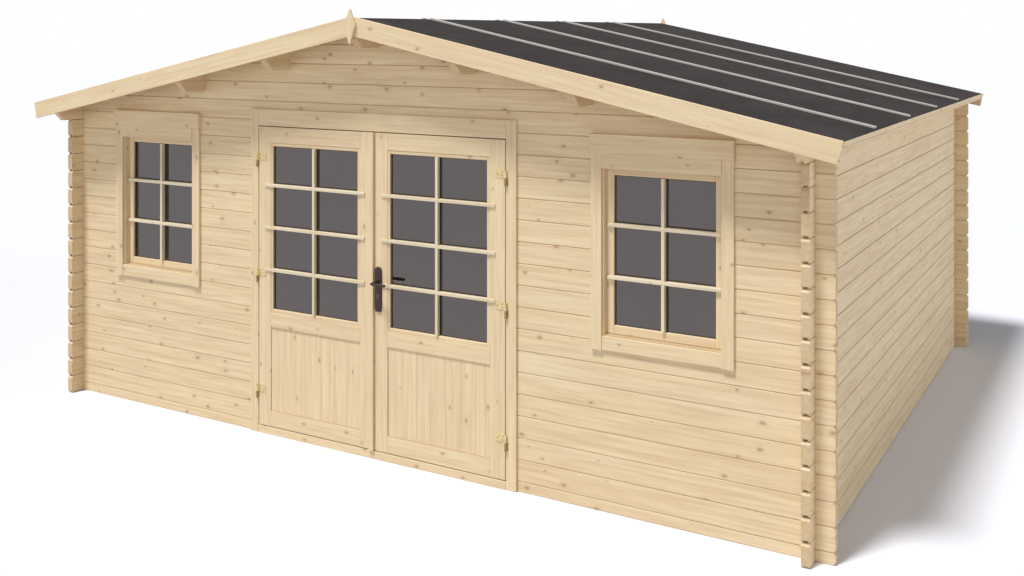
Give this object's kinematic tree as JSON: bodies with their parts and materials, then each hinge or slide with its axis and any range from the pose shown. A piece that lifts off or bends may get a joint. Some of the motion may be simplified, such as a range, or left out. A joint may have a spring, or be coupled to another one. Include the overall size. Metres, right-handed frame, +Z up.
{
  "type": "garden house",
  "caption": "Hollow log garden house with interlocking corner joints, a glazed double door on lift-off hinges with a lever handle, barred windows and a shallow felt-covered gable roof.",
  "frame": {"origin": "middle of the bounding box in plan, on the ground under the bottom logs", "axes": "+X along the front to the right as seen from outside, +Y from the front to the back, +Z up"},
  "size_m": [5.32, 4.5006, 2.5372],
  "materials": {
    "spruce": "planed and untreated",
    "roof_boards": "planed and untreated",
    "battens": "weathered",
    "felt": "mineral felt",
    "panes": "clear pane with a dark room behind",
    "hinge_metal": "yellow zinc plated",
    "handle_metal": "satin dark coat"
  },
  "bodies": {
    "house": {"floor_bearers": "roof_boards", "floor_deck": "roof_boards", "left_wall": "spruce", "right_wall": "spruce", "back_wall": "spruce", "back_gable": "spruce", "front_wall_left": "spruce", "front_wall_right": "spruce", "front_gable": "spruce", "left_window_frame": "spruce", "left_window_sash": "spruce", "left_window_glass": "panes", "left_window_trim": "spruce", "right_window_frame": "spruce", "right_window_sash": "spruce", "right_window_glass": "panes", "right_window_trim": "spruce", "door_frame": "spruce", "door_threshold": "spruce", "door_trim": "spruce", "door_hinge_pins": "hinge_metal", "ridge_purlin": "spruce", "left_purlins": "spruce", "right_purlins": "spruce", "left_roof_deck": "roof_boards", "right_roof_deck": "roof_boards", "left_roof_felt": "felt", "right_roof_felt": "felt", "felt_battens": "battens", "front_bargeboards": "spruce", "back_bargeboards": "spruce", "finials": "spruce", "left_eave_laths": "spruce", "right_eave_laths": "spruce"},
    "left_door": {"left_door_frame": "spruce", "left_door_panel": "spruce", "left_door_glass": "panes", "left_door_hinges": "hinge_metal", "door_cover_strip": "spruce"},
    "right_door": {"right_door_frame": "spruce", "right_door_panel": "spruce", "right_door_glass": "panes", "right_door_hinges": "hinge_metal", "handle_plates": "handle_metal"},
    "lever": {"lever_handle": "handle_metal"}
  },
  "joints": [
    {"name": "left_door_swing", "type": "hinge", "parent": "house", "child": "left_door", "pos_m": [-0.866, -2.037, 0.946], "axis": [0, 0, -1], "range_deg": [0, 165]},
    {"name": "right_door_swing", "type": "hinge", "parent": "house", "child": "right_door", "pos_m": [0.866, -2.037, 0.946], "axis": [0, 0, 1], "range_deg": [0, 165]},
    {"name": "lever_turn", "type": "hinge", "parent": "right_door", "child": "lever", "pos_m": [0.036, -2.028, 1.005], "axis": [0, 1, 0], "range_deg": [0, 40], "stiffness_Nm_per_rad": 2, "springref_deg": -20.05}
  ]
}
